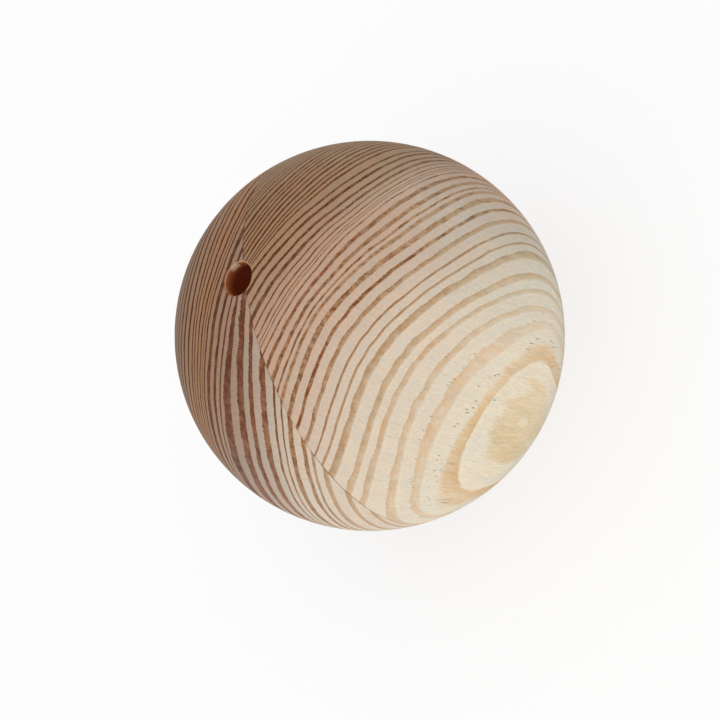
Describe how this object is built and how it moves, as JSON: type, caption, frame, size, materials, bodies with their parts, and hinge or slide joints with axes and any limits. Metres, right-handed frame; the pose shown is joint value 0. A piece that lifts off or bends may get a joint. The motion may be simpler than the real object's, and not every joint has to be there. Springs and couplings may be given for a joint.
{
  "type": "wooden ball",
  "caption": "Turned softwood ball glued up from two blocks, with a blind bore along the grain that takes a rod or dowel.",
  "frame": {"origin": "centre of the ball", "axes": "+Z along the bore, out of the bore's mouth, and roughly along the grain; +X square to the glue joint, from the left block into the right block"},
  "size_m": [0.08, 0.08, 0.0799],
  "materials": {
    "heartwood_block": "fine-sanded bare softwood, reddish heartwood with close growth rings",
    "sapwood_block": "fine-sanded bare softwood, heartwood running out to pale sapwood with wide growth rings"
  },
  "bodies": {
    "root": {"left_block": "heartwood_block", "right_block": "sapwood_block"}
  },
  "joints": []
}
